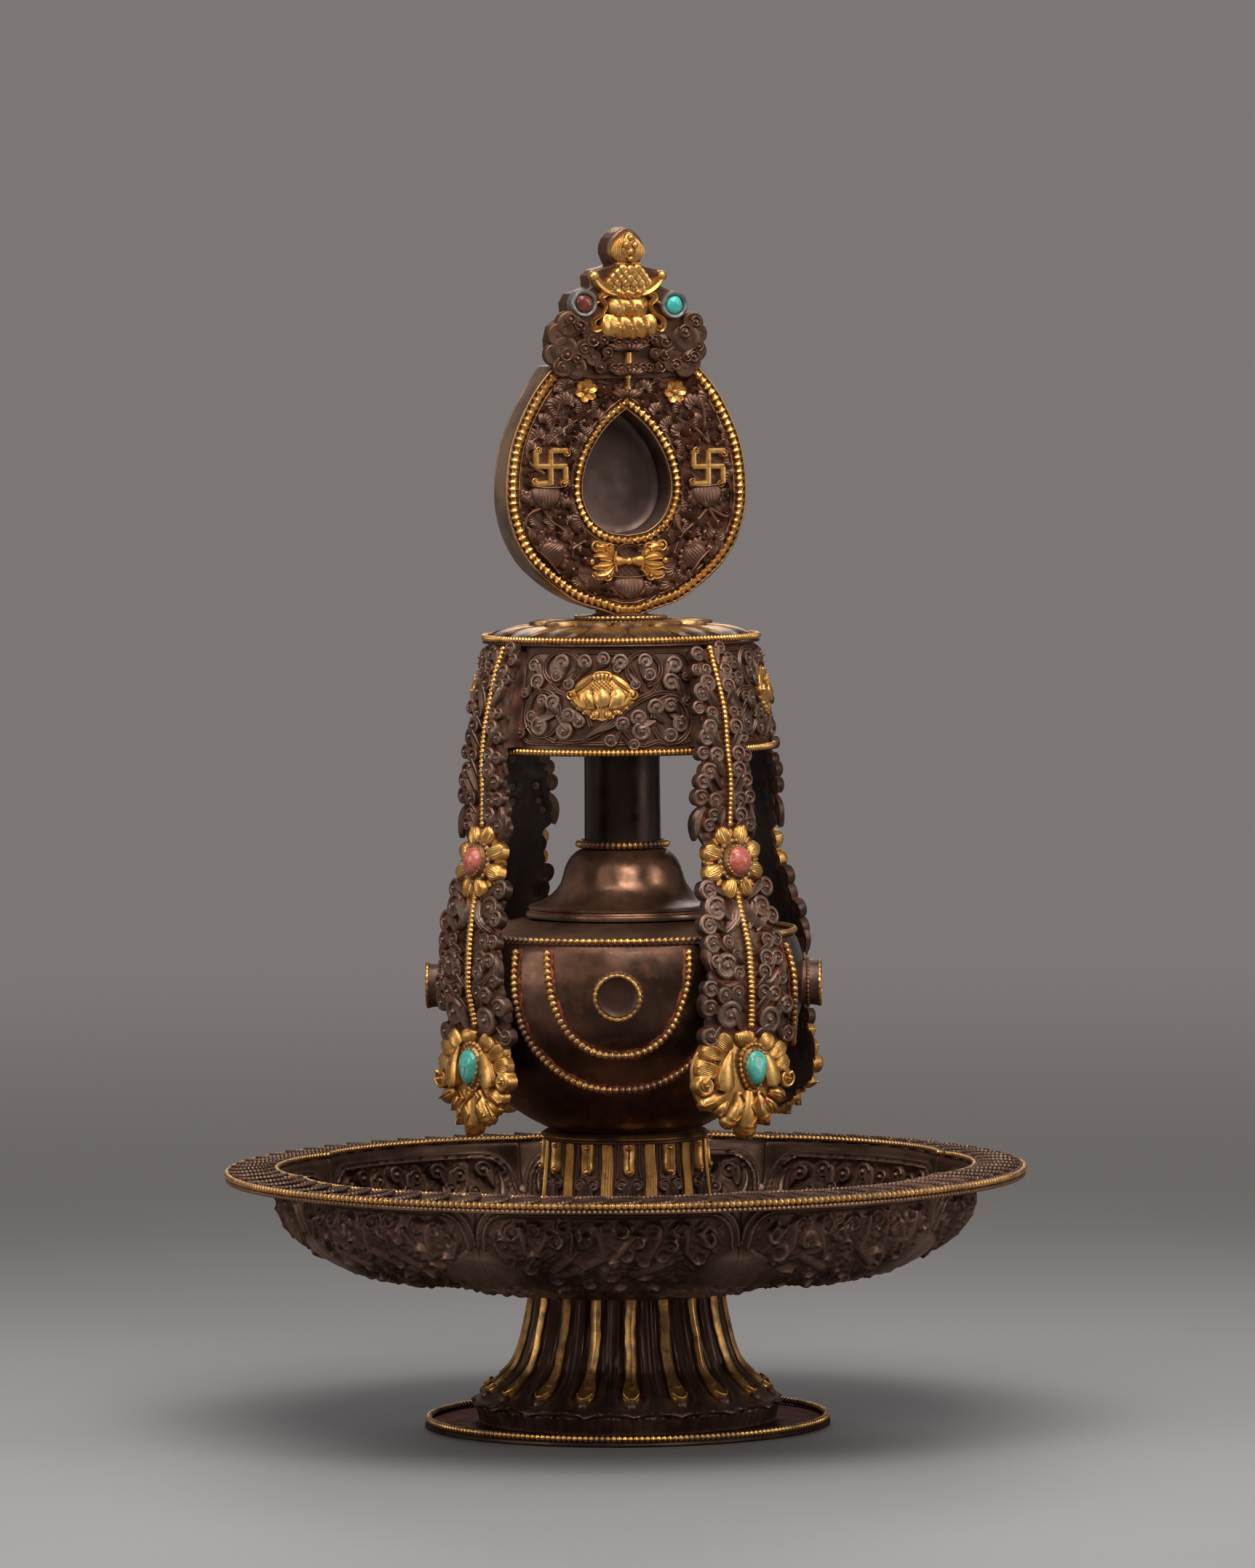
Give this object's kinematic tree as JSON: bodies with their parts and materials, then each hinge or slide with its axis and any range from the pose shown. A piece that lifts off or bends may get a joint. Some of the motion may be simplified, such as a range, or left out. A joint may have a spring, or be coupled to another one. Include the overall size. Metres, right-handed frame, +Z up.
{
  "type": "ritual long life vase",
  "caption": "Footed offering dish carrying a round-bellied metal vase with a lift-off canopy, hanging chased streamers and a teardrop shrine plaque that turns on a peg.",
  "frame": {"origin": "centre of the base plate's underside, on the surface that the vase stands on", "axes": "+Z up along the vase's axis, -Y towards the viewer of the front, +X to that viewer's right"},
  "size_m": [0.2576, 0.2576, 0.3852],
  "materials": {
    "dark_copper": "raised and chased copper sheet with a dark brown oxidised patina, rubbed to red copper on its edges",
    "gilding": "worn fire gilding over copper, with red copper and dark grime in the hollows",
    "iron": "plain darkened iron",
    "coral": "polished opaque coral",
    "turquoise": "polished opaque turquoise",
    "garnet": "polished dark red stone"
  },
  "bodies": {
    "stand": {"base_plate": "dark_copper", "base_bead_ring": "gilding", "stem_foot": "dark_copper", "dish": "dark_copper", "dish_outer_bead_ring": "gilding", "dish_inner_bead_ring": "gilding", "centre_bolt": "iron", "centre_nut": "iron"},
    "vase": {"vase_pedestal": "dark_copper", "pedestal_collar": "gilding", "vase_body": "dark_copper", "shoulder_bead_ring": "gilding", "outer_swag_front": "gilding", "inner_swag_front": "gilding", "stone_collet_front": "gilding", "outer_swag_right": "gilding", "inner_swag_right": "gilding", "stone_collet_right": "gilding", "outer_swag_back": "gilding", "inner_swag_back": "gilding", "stone_collet_back": "gilding", "outer_swag_left": "gilding", "inner_swag_left": "gilding", "stone_collet_left": "gilding", "shoulder_cap": "dark_copper", "neck_tube": "dark_copper", "neck_bead_ring": "gilding"},
    "lid": {"canopy_band": "dark_copper", "canopy_top": "dark_copper", "canopy_top_bead_ring": "gilding", "canopy_bottom_bead_ring": "gilding", "neck_plug": "dark_copper", "lotus_medallion_front": "gilding", "lotus_medallion_right": "gilding", "lotus_medallion_back": "gilding", "lotus_medallion_left": "gilding", "streamer_front_right": "dark_copper", "streamer_bead_front_right": "gilding", "coral_front_right": "coral", "turquoise_front_right": "turquoise", "streamer_back_right": "dark_copper", "streamer_bead_back_right": "gilding", "coral_back_right": "coral", "turquoise_back_right": "turquoise", "streamer_back_left": "dark_copper", "streamer_bead_back_left": "gilding", "coral_back_left": "coral", "turquoise_back_left": "turquoise", "streamer_front_left": "dark_copper", "streamer_bead_front_left": "gilding", "coral_front_left": "coral", "turquoise_front_left": "turquoise"},
    "plaque": {"plaque_box": "dark_copper", "plaque_front": "dark_copper", "plaque_rim_bead": "gilding", "plaque_window_bead": "gilding", "plaque_crest": "dark_copper", "crest_garnet": "garnet", "crest_turquoise": "turquoise", "plaque_peg": "gilding"}
  },
  "joints": [
    {"name": "vase_lift", "type": "slide", "parent": "stand", "child": "vase", "axis": [0, 0, 1], "range_m": [0, 0.05]},
    {"name": "lid_lift", "type": "slide", "parent": "vase", "child": "lid", "axis": [0, 0, 1], "range_m": [0, 0.18]},
    {"name": "plaque_swivel", "type": "hinge", "parent": "lid", "child": "plaque", "pos_m": [0, 0, 0.2582], "axis": [0, 0, 1], "continuous": true}
  ]
}
